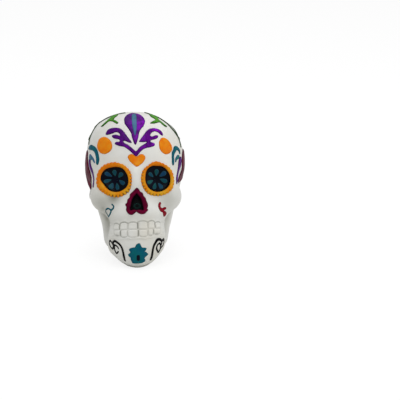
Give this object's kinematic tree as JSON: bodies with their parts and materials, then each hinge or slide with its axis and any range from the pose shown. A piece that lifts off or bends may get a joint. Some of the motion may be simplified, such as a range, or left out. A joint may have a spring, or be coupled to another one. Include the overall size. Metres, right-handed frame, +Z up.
{
  "type": "sugar skull",
  "caption": "Tabletop sugar skull ornament: a cast white skull with scalloped eye rings, petalled eyes, bared teeth and raised icing motifs, standing on a flat base.",
  "frame": {"origin": "middle of the flat base that the skull stands on", "axes": "+Z up, the face looks towards -Y, +X is the skull's side on the right when seen from the front"},
  "size_m": [0.082, 0.1127, 0.1159],
  "materials": {
    "skull_glaze": "satin off-white enamel brushed over a cast skull",
    "marigold_paint": "gloss marigold enamel with darker hollows",
    "orange_paint": "gloss orange enamel",
    "purple_paint": "pearl purple enamel",
    "slate_paint": "blue-grey enamel",
    "teal_paint": "gloss teal enamel",
    "petal_paint": "translucent blue-green glaze",
    "maroon_paint": "gloss maroon enamel",
    "green_paint": "gloss leaf-green enamel with dark edges",
    "scarlet_paint": "gloss scarlet enamel",
    "navy_paint": "gloss near-black navy enamel",
    "black_paint": "gloss black enamel"
  },
  "bodies": {
    "root": {"skull_casting": "skull_glaze", "nose_lining": "black_paint", "nose_rim": "maroon_paint", "forehead_plume": "purple_paint", "plume_stripe": "slate_paint", "forehead_scroll": "purple_paint", "forehead_heart": "orange_paint", "chin_flower": "teal_paint", "chin_seed": "navy_paint", "left_cheek_curl": "teal_paint", "right_cheek_curl": "scarlet_paint", "left_eye_cup": "navy_paint", "left_eye_ring": "marigold_paint", "left_eye_petal_1": "petal_paint", "left_eye_petal_2": "petal_paint", "left_eye_petal_3": "petal_paint", "left_eye_petal_4": "petal_paint", "left_eye_petal_5": "petal_paint", "left_eye_petal_6": "petal_paint", "left_eye_petal_7": "petal_paint", "left_dot": "orange_paint", "left_temple_hook": "teal_paint", "left_temple_leaflet": "slate_paint", "left_temple_stripe": "purple_paint", "left_temple_leaf": "maroon_paint", "left_crown_branch": "green_paint", "left_crown_vine": "green_paint", "left_jaw_scroll": "black_paint", "right_eye_cup": "navy_paint", "right_eye_ring": "marigold_paint", "right_eye_petal_1": "petal_paint", "right_eye_petal_2": "petal_paint", "right_eye_petal_3": "petal_paint", "right_eye_petal_4": "petal_paint", "right_eye_petal_5": "petal_paint", "right_eye_petal_6": "petal_paint", "right_eye_petal_7": "petal_paint", "right_dot": "orange_paint", "right_temple_hook": "teal_paint", "right_temple_leaflet": "slate_paint", "right_temple_stripe": "purple_paint", "right_temple_leaf": "maroon_paint", "right_crown_branch": "green_paint", "right_crown_vine": "green_paint", "right_jaw_scroll": "black_paint"}
  },
  "joints": []
}
